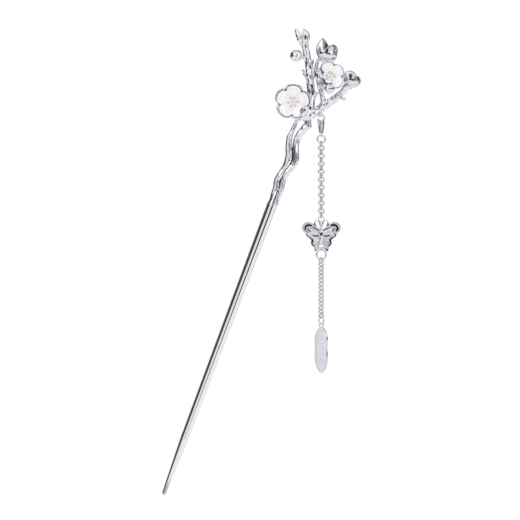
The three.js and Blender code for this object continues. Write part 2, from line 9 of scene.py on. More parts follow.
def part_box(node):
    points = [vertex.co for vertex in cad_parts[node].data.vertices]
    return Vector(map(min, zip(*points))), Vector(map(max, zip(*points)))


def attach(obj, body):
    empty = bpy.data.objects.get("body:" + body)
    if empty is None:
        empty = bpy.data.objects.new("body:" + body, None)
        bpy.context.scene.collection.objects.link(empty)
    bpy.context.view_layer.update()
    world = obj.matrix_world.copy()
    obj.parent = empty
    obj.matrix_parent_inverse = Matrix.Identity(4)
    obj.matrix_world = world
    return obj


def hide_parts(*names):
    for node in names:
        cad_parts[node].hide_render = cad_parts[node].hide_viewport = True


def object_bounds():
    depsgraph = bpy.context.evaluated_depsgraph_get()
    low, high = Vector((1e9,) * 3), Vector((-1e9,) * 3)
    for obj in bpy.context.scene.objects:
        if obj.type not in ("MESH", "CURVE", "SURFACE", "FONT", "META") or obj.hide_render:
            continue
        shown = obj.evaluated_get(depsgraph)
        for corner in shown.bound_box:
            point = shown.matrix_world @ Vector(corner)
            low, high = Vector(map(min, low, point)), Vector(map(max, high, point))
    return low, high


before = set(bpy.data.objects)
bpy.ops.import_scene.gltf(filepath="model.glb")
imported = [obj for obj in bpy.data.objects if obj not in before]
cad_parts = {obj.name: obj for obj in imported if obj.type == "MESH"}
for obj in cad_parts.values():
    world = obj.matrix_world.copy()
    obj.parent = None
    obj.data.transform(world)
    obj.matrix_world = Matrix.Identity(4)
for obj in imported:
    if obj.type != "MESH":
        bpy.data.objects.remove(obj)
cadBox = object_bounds()
scene = bpy.context.scene
mm = 0.001
print("frame loaded:", len(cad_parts), "nodes")


# camera

view = {"height": 0.1934, "centre": (0.01577, 0.03344), "distance": 0.6}


def makeCamera():
    camera = bpy.data.objects.new("camera", bpy.data.cameras.new("camera"))
    camera.data.type = "ORTHO"
    camera.data.ortho_scale = view["height"]
    camera.location = (view["centre"][0], -view["distance"], view["centre"][1])
    camera.rotation_euler = (math.radians(90), 0, 0)
    scene.collection.objects.link(camera)
    scene.camera = camera
    scene.view_settings.view_transform = "Standard"


makeCamera()


# one wrapper for node sockets: operators add Math nodes, node() adds any other


def operator(operation, swapped=False):
    def apply(self, other):
        return self.maths(operation, *((other, self) if swapped else (self, other)))

    return apply


class Wire:
    def __init__(self, tree, socket=None):
        self.tree = tree
        self.socket = socket

    def node(self, kind, settings=None, sockets=None, output=0):
        made = self.tree.nodes.new(kind)
        for name, value in (settings or {}).items():
            setattr(made, name, value)
        for name, value in (sockets or {}).items():
            if isinstance(value, Wire):
                self.tree.links.new(value.socket, made.inputs[name])
            else:
                made.inputs[name].default_value = value
        return Wire(self.tree, made.outputs[output])

    def maths(self, operation, *values):
        return self.node("ShaderNodeMath", {"operation": operation}, dict(enumerate(values)))

    __add__ = operator("ADD")
    __radd__ = operator("ADD", True)
    __sub__ = operator("SUBTRACT")
    __rsub__ = operator("SUBTRACT", True)
    __mul__ = operator("MULTIPLY")
    __rmul__ = operator("MULTIPLY", True)
    __truediv__ = operator("DIVIDE")
    __pow__ = operator("POWER")

    def __abs__(self):
        return self.maths("ABSOLUTE", self)

    # 0 below low, 1 above high, smooth between
    def step(self, low, high):
        sockets = {"Value": self, "From Min": low, "From Max": high}
        return self.node("ShaderNodeMapRange", {"interpolation_type": "SMOOTHSTEP"}, sockets)

    # from this colour to another, by a mask
    def blend(self, other, mask):
        sockets = {0: mask, 6: self, 7: other}
        return self.node("ShaderNodeMix", {"data_type": "RGBA"}, sockets, 2)

    def vectors(self, operation, other, output=0):
        return self.node("ShaderNodeVectorMath", {"operation": operation}, {0: self, 1: other}, output)

    def scaled(self, factors):
        return self.vectors("MULTIPLY", factors)


# studio: a white room for the eye, with a pale card and a few dark ones for the silver to reflect

# above, below and behind run from one value of the direction to another; cards are an azimuth from the
# camera in degrees, half width, softness, strength, reach up and down, and colour
room = {
    "front": (0.785, 0.77, 0.84, 1),
    "above": (0.90, 0.89, 0.925, 1),
    "below": (0.70, 0.69, 0.76, 1),
    "dark": (0.010, 0.009, 0.012, 1),
    "cards": [
        (72, 18, 14, 0.65, (0.45, 0.8), (1.0, 1.0, 1.03, 1)),
        (-86, 34, 7, 0.97, (0.62, 0.9), (0.052, 0.024, 0.021, 1)),
        (24.5, 21, 3.5, 0.985, (0.28, 0.42), (0.005, 0.006, 0.017, 1)),
        (126, 8, 6, 0.6, (0.62, 0.9), (0.02, 0.02, 0.03, 1)),
    ],
    "aboveFrom": (0.15, 0.75),
    "belowFrom": (-0.8, -0.1),
    "behindFrom": (0.36, 0.80),
    "behindShare": 0.92,
    "diffuse": (1.0, 1.0, 1.015, 1),
}


def makeRoom():
    world = bpy.data.worlds.new("studio")
    scene.world = world
    world.use_nodes = True
    tree = world.node_tree
    tree.nodes.clear()
    start = Wire(tree)
    direction = start.node("ShaderNodeTexCoord", output="Generated")
    x, y, z = (start.node("ShaderNodeSeparateXYZ", None, {0: direction}, axis) for axis in range(3))
    azimuth = x.maths("ARCTAN2", x, 0 - y) * math.degrees(1)
    colour = start.node("ShaderNodeRGB")
    colour.socket.default_value = room["front"]
    colour = colour.blend(room["above"], z.step(*room["aboveFrom"]))
    colour = colour.blend(room["below"], 1 - z.step(*room["belowFrom"]))
    for centre, half, soft, strength, reach, tone in room["cards"]:
        band = 1 - abs(azimuth - centre).step(half, half + soft)
        level = 1 - abs(z).step(*reach)
        colour = colour.blend(tone, band * level * strength)
    colour = colour.blend(room["dark"], y.step(*room["behindFrom"]) * room["behindShare"])
    scattered = start.node("ShaderNodeLightPath", output="Is Diffuse Ray")
    colour = colour.blend(room["diffuse"], scattered)
    seen = start.node("ShaderNodeLightPath", output="Is Camera Ray")
    colour = colour.blend((1, 1, 1, 1), seen)
    light = start.node("ShaderNodeBackground", None, {"Color": colour, "Strength": 1.0})
    output = tree.nodes.new("ShaderNodeOutputWorld")
    tree.links.new(light.socket, output.inputs["Surface"])


softLights = {
    "keyLight": {"place": (-0.35, -0.55, 0.55), "size": 0.35, "power": 0.30},
    "fillLight": {"place": (0.55, -0.45, 0.15), "size": 0.4, "power": 0.15},
    "topLight": {"place": (0.1, 0.25, 0.7), "size": 0.5, "power": 0.25},
}
lightTarget = (0.016, 0, 0.033)


def makeLights():
    target = Vector(lightTarget)
    for name, light in softLights.items():
        data = bpy.data.lights.new(name, "AREA")
        data.energy = light["power"]
        data.size = light["size"]
        lamp = bpy.data.objects.new(name, data)
        lamp.location = light["place"]
        lamp.rotation_euler = (target - lamp.location).to_track_quat("-Z", "Y").to_euler()
        scene.collection.objects.link(lamp)


makeRoom()
makeLights()
print("studio made")


# finishes

silvers = {
    "shaftSilver": {
        "tint": (0.97, 0.965, 0.97), "tone": 0.02,
        "gloss": 0.03, "wear": 0.02, "grain": 0.003, "fine": 5.0, "metal": 1.0,
    },
    "castSilver": {
        "tint": (0.935, 0.925, 0.955), "tone": 0.05,
        "gloss": 0.09, "wear": 0.08, "grain": 0.03, "fine": 3.0, "metal": 0.97,
    },
    "claspSilver": {
        "tint": (0.80, 0.80, 0.82), "tone": 0.08,
        "gloss": 0.10, "wear": 0.06, "grain": 0.04, "fine": 4.0, "metal": 1.0,
    },
    "chainSilver": {
        "tint": (0.80, 0.80, 0.80), "tone": 0.08,
        "gloss": 0.12, "wear": 0.10, "grain": 0.03, "fine": 4.0, "metal": 1.0,
    },
    "antiqueSilver": {
        "tint": (0.83, 0.825, 0.875), "tone": 0.09,
        "gloss": 0.20, "wear": 0.10, "grain": 0.05, "fine": 2.5, "metal": 0.8,
    },
    "frostedSilver": {
        "tint": (0.90, 0.895, 0.93), "tone": 0.05,
        "gloss": 0.36, "wear": 0.06, "grain": 0.010, "fine": 1.2, "metal": 0.5,
    },
}
# dark colour for patina in the hollows, and for painted shade and painted black glints
patinaAndShadeColour = (0.022, 0.021, 0.028, 1)
# the shaft's point is worn and browned: its lean in degrees, where that ends along it, and how much
wornPoint = {"lean": 20.55, "range": (-56, -50), "amount": 0.75, "colour": (0.34, 0.30, 0.29, 1)}


def newMaterial(name):
    material = bpy.data.materials.new(name)
    material.use_nodes = True
    tree = material.node_tree
    return material, tree.nodes["Principled BSDF"], Wire(tree)


# object coordinates in millimetres
def millimetres(start):
    return start.node("ShaderNodeTexCoord", output="Object").scaled((1000, 1000, 1000))


def noiseOf(place, scale, detail=3.0, distortion=0.0):
    sockets = {"Vector": place, "Scale": scale, "Detail": detail, "Distortion": distortion}
    return place.node("ShaderNodeTexNoise", None, sockets)


def join(shader, wire, name):
    wire.tree.links.new(wire.socket, shader.inputs[name])


def bumpOf(height, strength):
    sockets = {"Height": height, "Strength": strength, "Distance": 0.05 * mm}
    return height.node("ShaderNodeBump", None, sockets)


def valueOf(start, name):
    return start.node("ShaderNodeAttribute", {"attribute_name": name}, None, "Fac")


def plainColour(start, colour):
    made = start.node("ShaderNodeRGB")
    made.socket.default_value = colour
    return made


def makeSilver(name, look):
    material, shader, start = newMaterial(name)
    place = millimetres(start)
    cloudy = noiseOf(place, 0.45)
    fine = noiseOf(place, look["fine"], 4.0)
    scratches = noiseOf(place.scaled((9.0, 9.0, 0.8)), 2.2, 2.0)
    patina = valueOf(start, "patina")
    tint = look["tint"]
    bright = plainColour(start, (*tint, 1))
    darker = [channel * (1 - look["tone"] * 2) for channel in tint]
    metal = bright.blend((*darker, 1), cloudy.step(0.42, 0.75))
    polished = valueOf(start, "polished")
    # painted highlight: the colour turns whiter where this mask is set; it also lowers the roughness as
    # polish
    metal = metal.blend((0.99, 0.99, 1.0, 1), polished * 0.8)
    # patina in the hollows, with painted shade and painted black glints where a piece carries them
    metal = metal.blend(patinaAndShadeColour, patina * (0.9 + fine * 0.1))
    if name == "shaftSilver":
        lean, amount = math.radians(wornPoint["lean"]), wornPoint["amount"]
        axial = place.vectors("DOT_PRODUCT", (math.sin(lean), 0, math.cos(lean)), "Value")
        worn = amount - amount * axial.step(*wornPoint["range"])
        metal = metal.blend(wornPoint["colour"], worn)
    join(shader, metal, "Base Color")
    rough = look["gloss"] * (1 - polished * 0.8) + look["wear"] * (fine - 0.35) + patina * 0.25
    join(shader, rough.maths("MAXIMUM", rough, 0.03), "Roughness")
    shader.inputs["Metallic"].default_value = look["metal"]
    height = fine * 0.7 + scratches * 0.3
    join(shader, bumpOf(height, look["grain"]), "Normal")
    return material


def makeShell():
    material, shader, start = newMaterial("pearlShell")
    place = millimetres(start)
    rings = {"wave_type": "RINGS", "bands_direction": "Y"}
    sockets = {"Vector": place, "Scale": 0.32, "Distortion": 5.0, "Detail": 3.0, "Detail Scale": 0.8}
    layers = place.node("ShaderNodeTexWave", rings, sockets, "Fac")
    clouds = noiseOf(place, 0.6, 4.0, 0.6)
    patina = valueOf(start, "patina")
    heart = valueOf(start, "heart")
    pearl = plainColour(start, (0.99, 0.985, 0.98, 1))
    pearl = pearl.blend((0.93, 0.93, 0.985, 1), clouds.step(0.45, 0.75))
    pearl = pearl.blend((0.98, 0.93, 0.94, 1), layers.step(0.55, 0.95) * 0.35)
    pearl = pearl.blend((0.97, 0.93, 0.83, 1), heart * 0.75)
    pearl = pearl.blend((0.60, 0.58, 0.60, 1), patina * 0.5)
    join(shader, pearl, "Base Color")
    join(shader, 0.2 + clouds * 0.16, "Roughness")
    join(shader, 0.35 + layers * 0.3, "Coat Weight")
    shader.inputs["Coat Roughness"].default_value = 0.12
    shader.inputs["Subsurface Weight"].default_value = 0.12
    shader.inputs["Subsurface Radius"].default_value = (0.8 * mm, 0.7 * mm, 0.6 * mm)
    join(shader, bumpOf(layers * 0.5 + clouds * 0.5, 0.12), "Normal")
    return material


def makeStamenFinish():
    material, shader, start = newMaterial("creamStamen")
    place = millimetres(start)
    specks = noiseOf(place, 5.0, 4.0)
    patina = valueOf(start, "patina")
    colour = plainColour(start, (0.62, 0.55, 0.41, 1))
    colour = colour.blend((0.36, 0.31, 0.24, 1), specks.step(0.4, 0.7))
    anther = valueOf(start, "anther")
    colour = plainColour(start, (0.90, 0.87, 0.78, 1)).blend(colour, anther)
    colour = colour.blend((0.2, 0.17, 0.13, 1), patina)
    join(shader, colour, "Base Color")
    join(shader, 0.3 + specks * 0.2, "Roughness")
    shader.inputs["Metallic"].default_value = 0.35
    join(shader, bumpOf(specks, 0.5), "Normal")
    return material


def makeFloorFinish():
    material, shader, start = newMaterial("paleFloor")
    place = millimetres(start)
    clouds = noiseOf(place, 0.02)
    colour = plainColour(start, (0.86, 0.86, 0.88, 1)).blend((0.82, 0.82, 0.84, 1), clouds)
    join(shader, colour, "Base Color")
    join(shader, 0.6 + clouds * 0.1, "Roughness")
    return material


finish = {name: makeSilver(name, look) for name, look in silvers.items()}
finish["pearlShell"] = makeShell()
finish["creamStamen"] = makeStamenFinish()
finish["paleFloor"] = makeFloorFinish()
print("finishes made:", len(finish))


# meshes


def newPiece(name, mesh, material):
    piece = bpy.data.objects.new(name, mesh)
    scene.collection.objects.link(piece)
    mesh.materials.clear()
    mesh.materials.append(finish[material])
    return piece


def read(items, field, width, kind=float):
    values = np.zeros(len(items) * width, kind)
    items.foreach_get(field, values)
    return values.reshape(-1, width)


def pointsOf(mesh):
    return read(mesh.vertices, "co", 3)


def normalsOf(mesh):
    return read(mesh.vertices, "normal", 3)


def edgesOf(mesh):
    return read(mesh.edges, "vertices", 2, int)


def setPoints(mesh, points):
    mesh.vertices.foreach_set("co", points.ravel())
    mesh.update()


# each point moves a share of the way to the mean of its neighbours, once for each pull
def relax(points, edges, pulls):
    starts, ends = edges.T
    size = len(points)
    count = np.bincount(edges.ravel(), minlength=size)
    for pull in pulls:
        mean = np.empty_like(points)
        for axis in range(3):
            total = np.bincount(starts, points[ends, axis], size)
            total += np.bincount(ends, points[starts, axis], size)
            mean[:, axis] = total / np.maximum(count, 1)
        points = points + pull * (mean - points)
    return points


def setValue(mesh, name, values):
    layer = mesh.attributes.get(name) or mesh.attributes.new(name, "FLOAT", "POINT")
    layer.data.foreach_set("value", np.asarray(values, float))


# how far each point lies in a hollow, from 0 to 1
def hollows(mesh, depth, spread=14):
    points = pointsOf(mesh)
    blurred = relax(points, edgesOf(mesh), [0.6] * spread)
    inside = ((blurred - points) * normalsOf(mesh)).sum(1)
    return np.clip(inside / (depth * mm), 0, 1)


# closed solids are (points, faces), in millimetres


def merged(solids, rough=None):
    points, faces = [], []
    if rough:
        points = [tuple(point / mm) for point in pointsOf(rough)]
        faces = [list(face.vertices) for face in rough.polygons]
        bpy.data.meshes.remove(rough)
    for solidPoints, solidFaces in solids:
        first = len(points)
        points.extend(tuple(point) for point in solidPoints)
        faces.extend([first + corner for corner in face] for face in solidFaces)
    mesh = bpy.data.meshes.new("rough")
    mesh.from_pydata([Vector(point) * mm for point in points], [], faces)
    return mesh


# a grid of points given a thickness, closed round its rim
def sheet(grid, thickness):
    rows, columns = grid.shape[:2]
    across = np.gradient(grid, axis=1)
    along = np.gradient(grid, axis=0)
    normal = np.cross(across, along)
    normal /= np.linalg.norm(normal, axis=2, keepdims=True) + 1e-12
    front = (grid + normal * thickness / 2).reshape(-1, 3)
    back = (grid - normal * thickness / 2).reshape(-1, 3)
    size = rows * columns
    faces = []
    for row in range(rows - 1):
        for column in range(columns - 1):
            a = row * columns + column
            corners = [a, a + 1, a + columns + 1, a + columns]
            faces.append(corners)
            faces.append([size + corner for corner in reversed(corners)])
    rim = list(range(columns))
    rim += [row * columns + columns - 1 for row in range(1, rows)]
    rim += [(rows - 1) * columns + column for column in range(columns - 2, -1, -1)]
    rim += [row * columns for row in range(rows - 2, 0, -1)]
    for here, after in zip(rim, rim[1:] + rim[:1]):
        faces.append([after, here, size + here, size + after])
    return np.vstack([front, back]), faces


# a smooth path through points, with so many steps from each of them to the next
def smoothPath(points, steps):
    path = []
    for index in range(len(points) - 1):
        before = points[max(index - 1, 0)]
        here, after = points[index], points[index + 1]
        beyond = points[min(index + 2, len(points) - 1)]
        for step in range(steps):
            t = step / steps
            path.append(0.5 * (
                2 * here
                + (after - before) * t
                + (2 * before - 5 * here + 4 * after - beyond) * t * t
                + (3 * here - before - 3 * after + beyond) * t ** 3
            ))
    return path + [points[-1]]


# a round bar through points, its radius given at each of them, with rounded ends
def bar(points, radii, sides=12, steps=8):
    path = smoothPath([Vector(point) for point in points], steps)
    sizes = []
    for near, far in zip(radii, radii[1:]):
        sizes += [near + (far - near) * (step / steps) for step in range(steps)]
    sizes.append(radii[-1])
    first = (path[1] - path[0]).normalized()
    last = (path[-1] - path[-2]).normalized()
    path = [path[0] - first * sizes[0] * share for share in (0.9, 0.6)] + path
    path += [path[-1] + last * sizes[-1] * share for share in (0.6, 0.9)]
    sizes = [sizes[0] * 0.4, sizes[0] * 0.8] + sizes + [sizes[-1] * 0.8, sizes[-1] * 0.4]
    side = first.orthogonal().normalized()
    rings, faces = [], []
    for index, centre in enumerate(path):
        tangent = (path[min(index + 1, len(path) - 1)] - path[max(index - 1, 0)]).normalized()
        side = (side - tangent * side.dot(tangent)).normalized()
        other = tangent.cross(side)
        for turn in range(sides):
            angle = 2 * math.pi * turn / sides
            rings.append(centre + sizes[index] * (side * math.cos(angle) + other * math.sin(angle)))
    for index in range(len(path) - 1):
        for turn in range(sides):
            after = (turn + 1) % sides
            low, high = index * sides, (index + 1) * sides
            faces.append([low + turn, low + after, high + after, high + turn])
    faces.append(list(reversed(range(sides))))
    faces.append([(len(path) - 1) * sides + turn for turn in range(sides)])
    return rings, faces


def ball(centre, radius, stretch=(1, 1, 1), sectors=20, rows=12):
    points, faces = [(0, 0, radius)], []
    for row in range(1, rows):
        angle = math.pi * row / rows
        for sector in range(sectors):
            turn = 2 * math.pi * sector / sectors
            flat = radius * math.sin(angle)
            points.append((flat * math.cos(turn), flat * math.sin(turn), radius * math.cos(angle)))
    points.append((0, 0, -radius))
    for sector in range(sectors):
        after = (sector + 1) % sectors
        faces.append([0, 1 + sector, 1 + after])
        for row in range(rows - 2):
            low, high = 1 + row * sectors, 1 + (row + 1) * sectors
            faces.append([low + sector, high + sector, high + after, low + after])
        top = 1 + (rows - 2) * sectors
        faces.append([top + sector, len(points) - 1, top + after])
    return np.array(points) * stretch + np.array(centre), faces


# a copy of a CAD node's mesh, its loose triangles joined up, in metres
def nodeCopy(node):
    work = bmesh.new()
    work.from_mesh(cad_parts[node].data)
    bmesh.ops.remove_doubles(work, verts=work.verts, dist=0.002 * mm)
    mesh = bpy.data.meshes.new("rough")
    work.to_mesh(mesh)
    work.free()
    return mesh


enlarge = 100  # the remesher works better on a larger copy


# one even skin over everything in a rough mesh, softened, dimpled and aged in its hollows
def castMesh(rough, voxel, soften, dimple=0, dimpleSize=1, stretch=(1, 1, 1), depth=0.12, swell=0):
    setPoints(rough, pointsOf(rough) * enlarge)
    scratch = bpy.data.objects.new("scratch", rough)
    scene.collection.objects.link(scratch)
    remesh = scratch.modifiers.new("skin", "REMESH")
    remesh.mode = "VOXEL"
    remesh.voxel_size = voxel * mm * enlarge
    remesh.use_smooth_shade = True
    graph = bpy.context.evaluated_depsgraph_get()
    mesh = bpy.data.meshes.new_from_object(scratch.evaluated_get(graph))
    bpy.data.objects.remove(scratch)
    bpy.data.meshes.remove(rough)
    points = relax(pointsOf(mesh) / enlarge, edgesOf(mesh), [0.55, -0.5] * soften + [0.3])
    setPoints(mesh, points)
    if swell:
        setPoints(mesh, points + normalsOf(mesh) * swell * mm)
        points = pointsOf(mesh)
    if dimple:
        normals = normalsOf(mesh)
        scale = Vector(stretch) / (dimpleSize * mm)
        spots = [Vector(point) * scale for point in points]
        waves = [noise.noise(spot) + 0.4 * noise.noise(spot * 2.3) for spot in spots]
        setPoints(mesh, points + normals * (np.array(waves) * dimple * mm)[:, None])
    setValue(mesh, "patina", hollows(mesh, depth))
    return mesh


def finishPiece(piece, body, slot, *nodes):
    piece.data.shade_smooth()
    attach(piece, body)
    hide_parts(*nodes)


def castPiece(name, mesh, node, material="castSilver", body="root", slot="polished_silver"):
    finishPiece(newPiece(name, mesh, material), body, slot, node)


# the two-stranded trunk and its branches, as cast

# voxel is the fineness of the skin, dimple and dimpleSize the height and width of its bark, swell what
# it adds all round, depth the hollow that is fully dark; a knot thickens it, as points and radii
castings = {
    "trunkCasting": {
        "node": "twisted_trunk",
        "voxel": 0.13, "dimple": 0.15, "dimpleSize": 2.4, "swell": 0.0, "depth": 0.045,
        "knot": (
            [(30.0, -0.4, 88.2), (32.2, -0.8, 87.2), (34.4, -0.6, 87.6), (36.8, -0.3, 88.8)],
            [1.5, 2.2, 2.0, 1.2],
        ),
    },
    "rightBranchCasting": {
        "node": "right_branch",
        "voxel": 0.13, "dimple": 0.42, "dimpleSize": 1.9, "swell": 0.22, "depth": 0.07,
        "knot": ([(41.6, -0.3, 92.2), (40.2, -0.5, 91.4), (38.6, -0.3, 90.4)], [0.9, 1.5, 1.0]),
    },
    "uprightBranchCasting": {
        "node": "upright_branch",
        "voxel": 0.13, "dimple": 0.36, "dimpleSize": 2.0, "swell": 0.20, "depth": 0.07,
        "knot": ([(34.3, -0.2, 104.5), (34.2, -0.3, 102.0), (34.6, -0.2, 99.4)], [0.9, 1.5, 1.0]),
    },
    "middleBranchCasting": {
        "node": "middle_branch",
        "voxel": 0.12, "dimple": 0.26, "dimpleSize": 1.5, "swell": 0.05, "depth": 0.07,
    },
    "hangingEyeCasting": {
        "node": "hanging_eye",
        "voxel": 0.10, "dimple": 0.03, "dimpleSize": 1.0, "swell": 0.0, "depth": 0.07,
    },
}
barkStretch = (1, 1, 0.6)  # dimples are longer along the branches


def makeCastings():
    for name, look in castings.items():
        rough = nodeCopy(look["node"])
        if "knot" in look:
            rough = merged([bar(*look["knot"])], rough)
        dimples = (look["dimple"], look["dimpleSize"], barkStretch)
        mesh = castMesh(rough, look["voxel"], 3, *dimples, look["depth"], look["swell"])
        castPiece(name, mesh, look["node"])


makeCastings()
print("castings made")


# geometry nodes


def newTree(name, inputs):
    inputs = dict(inputs, Finish="Material")
    tree = bpy.data.node_groups.new(name, "GeometryNodeTree")
    tree.interface.new_socket("Geometry", in_out="OUTPUT", socket_type="NodeSocketGeometry")
    for label, kind in inputs.items():
        tree.interface.new_socket(label, in_out="INPUT", socket_type="NodeSocket" + kind)
    start = Wire(tree)
    source = tree.nodes.new("NodeGroupInput")
    return tree, start, {label: Wire(tree, source.outputs[label]) for label in inputs}


# ends a tree: real geometry, smooth and in its finish
def closeTree(tree, shape, given):
    shape = shape.node("GeometryNodeRealizeInstances", None, {"Geometry": shape})
    shape = shape.node("GeometryNodeSetShadeSmooth", None, {"Geometry": shape})
    sockets = {"Geometry": shape, "Material": given["Finish"]}
    shape = shape.node("GeometryNodeSetMaterial", None, sockets)
    output = tree.nodes.new("NodeGroupOutput")
    tree.links.new(shape.socket, output.inputs["Geometry"])


def grow(name, tree, values, material):
    piece = bpy.data.objects.new(name, bpy.data.meshes.new(name))
    scene.collection.objects.link(piece)
    shape = piece.modifiers.new("shape", "NODES")
    shape.node_group = tree
    values = dict(values, Finish=finish[material])
    for item in tree.interface.items_tree:
        if item.in_out == "INPUT":
            shape[item.identifier] = values[item.name]
    graph = bpy.context.evaluated_depsgraph_get()
    mesh = bpy.data.meshes.new_from_object(piece.evaluated_get(graph))
    piece.modifiers.remove(shape)
    piece.data = mesh
    return piece


def combine(start, x, y, z):
    return start.node("ShaderNodeCombineXYZ", None, {0: x, 1: y, 2: z})


def circleOf(start, resolution, radius):
    sockets = {"Resolution": resolution, "Radius": radius}
    return start.node("GeometryNodeCurvePrimitiveCircle", None, sockets)


def moved(shape, rotation, place):
    sockets = {"Geometry": shape, "Rotation": rotation, "Translation": place}
    return shape.node("GeometryNodeTransform", None, sockets)


# the shaft: a straight tapered bar with a rounded point

# radii at its tip, above its point, halfway and at its top; shares of its length for point and nose
shaftLook = {
    "length": 115.2, "lean": 20.55,
    "tip": 0.6, "lower": 1.45, "middle": 1.625, "top": 1.85,
    "pointShare": 0.19, "roundShare": 0.006,
}


def shaftTree():
    sizes = ("Tip", "Lower", "Middle", "Top", "Point Share", "Round Share")
    inputs = {label: "Float" for label in sizes}
    inputs.update({"Foot": "Vector", "Head": "Vector"})
    tree, start, given = newTree("shaftShape", inputs)
    ends = {"Start": given["Foot"], "End": given["Head"]}
    line = start.node("GeometryNodeCurvePrimitiveLine", None, ends)
    line = line.node("GeometryNodeResampleCurve", None, {"Curve": line, "Count": 260})
    along = start.node("GeometryNodeSplineParameter")
    point = (along / given["Point Share"]).maths("MINIMUM", along / given["Point Share"], 1.0)
    lower = (along - given["Point Share"]) / (0.5 - given["Point Share"])
    lower = lower.maths("MAXIMUM", lower, 0.0)
    lower = lower.maths("MINIMUM", lower, 1.0)
    upper = along * 2 - 1
    upper = upper.maths("MAXIMUM", upper, 0.0)
    radius = given["Tip"] + (given["Lower"] - given["Tip"]) * point ** 0.85
    radius = radius + (given["Middle"] - given["Lower"]) * lower
    radius = radius + (given["Top"] - given["Middle"]) * upper
    nose = 1 - along / given["Round Share"]
    nose = nose.maths("MAXIMUM", nose, 0.0)
    radius = radius * (1.02 - nose * nose) ** 0.5
    section = circleOf(start, 48, 1.0)
    sockets = {"Curve": line, "Profile Curve": section, "Scale": radius, "Fill Caps": True}
    shape = line.node("GeometryNodeCurveToMesh", None, sockets)
    closeTree(tree, shape, given)
    return tree


def makeShaft():
    lean = math.radians(shaftLook["lean"])
    half = shaftLook["length"] / 2 * mm
    head = Vector((math.sin(lean), 0, math.cos(lean))) * half
    values = {"Foot": -head, "Head": head}
    values.update({"Point Share": shaftLook["pointShare"], "Round Share": shaftLook["roundShare"]})
    for label in ("tip", "lower", "middle", "top"):
        values[label.capitalize()] = shaftLook[label] * mm
    piece = grow("polishedShaft", shaftTree(), values, "shaftSilver")
    finishPiece(piece, "root", "shaft_silver", "pin_shaft")


makeShaft()
print("shaft made")


# rings and links of round wire

# wire thickness of the nodes whose names hold each word
wires = {"link": 0.5, "clasp_ring": 0.55, "butterfly_ring": 0.57, "leaf_ring": 0.47}


def ringTree():
    inputs = {"Mean Radius": "Float", "Wire": "Float", "Turn": "Float", "Centre": "Vector"}
    tree, start, given = newTree("wireRing", inputs)
    path = circleOf(start, 44, given["Mean Radius"])
    section = circleOf(start, 14, given["Wire"] / 2)
    shape = path.node("GeometryNodeCurveToMesh", None, {"Curve": path, "Profile Curve": section})
    turned = combine(start, math.pi / 2, 0.0, given["Turn"])
    closeTree(tree, moved(shape, turned, given["Centre"]), given)
    return tree


# a ring's centre and size come from its CAD node's box, its turn from that node's points
def makeRings():
    tree = ringTree()
    for node in sorted(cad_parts):
        wire = next((wire for part, wire in wires.items() if part in node), None)
        if wire is None:
            continue
        low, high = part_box(node)
        mean = (high.z - low.z - wire * mm) / 2
        points = pointsOf(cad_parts[node].data)
        flat = points[:, :2] - points[:, :2].mean(0)
        turn = math.atan2(*np.linalg.eigh(flat.T @ flat)[1][:, 1][::-1])
        values = {"Mean Radius": mean, "Wire": wire * mm, "Turn": turn, "Centre": (low + high) / 2}
        piece = grow(node.replace("_", "") + "Wire", tree, values, "chainSilver")
        slot = "clasp_silver" if node == "clasp_ring" else "chain_silver"
        finishPiece(piece, node, slot, node)


makeRings()
print("rings and links made")


# petals: a patch that rises from the middle of a flower; it starts at an angle, bends steadily and
# curls near its end, its corners drop back, and sharp is how pointed they leave it


def petal(azimuth, halfWidth, reach, bend, curl, drop, thick, crown=0, start=0, sharp=3):
    rows, columns = 26, 22
    v = np.linspace(0.03, 1, rows)[:, None]
    u = np.linspace(-1, 1, columns)[None, :]
    along = v * (1 - drop * np.abs(u) ** sharp)
    steps = 199
    fine = np.linspace(0, 1, steps + 1)
    lean = start + bend * fine + curl * fine ** 5
    radial = np.concatenate([[0], np.cumsum(np.cos(lean[:-1])) / steps]) * reach
    height = np.concatenate([[0], np.cumsum(np.sin(lean[:-1])) / steps]) * reach
    radius = np.interp(along, fine, radial)
    rise = np.interp(along, fine, height) + crown * (1 - u ** 2) * np.sin(math.pi * v)
    turn = math.radians(azimuth) + math.radians(halfWidth) * u
    grid = np.stack([radius * np.cos(turn), radius * np.sin(turn), rise], axis=2)
    return sheet(grid, thick)


# the rotation from straight up to a direction
def turnTo(direction):
    return Vector((0, 0, 1)).rotation_difference(Vector(direction))


# turns solids made about +Z to a direction and moves them to a place
def aimed(solids, place, direction):
    matrix = np.array(turnTo(direction).to_matrix())
    return [(np.array(points) @ matrix.T + np.array(place), faces) for points, faces in solids]


def middleOf(node):
    low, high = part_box(node)
    return np.array((low + high) / 2) / mm


# open blossoms: a silver cup, a shell blossom in it and a ring of stamens

cupPetal = {"halfWidth": 38, "bend": 0.75, "curl": 0.1, "drop": 0.24, "crown": 0.15, "thick": 0.45}
shellPetal = {"halfWidth": 37, "bend": 0.62, "curl": 0.35, "drop": 0.30, "crown": 0.5, "thick": 0.75}
cupLook = {"voxel": 0.12, "dimple": 0.06, "heart": 1.3}
shellLook = {"voxel": 0.13, "dimple": 0.05, "heart": 1.5, "lift": 0.95, "turn": 3, "bareShare": 0.55}
lipLook = {"lift": 0.8, "droop": 0.5, "radii": (0.16, 0.42, 0.42, 0.16), "ballHeight": 2.3}
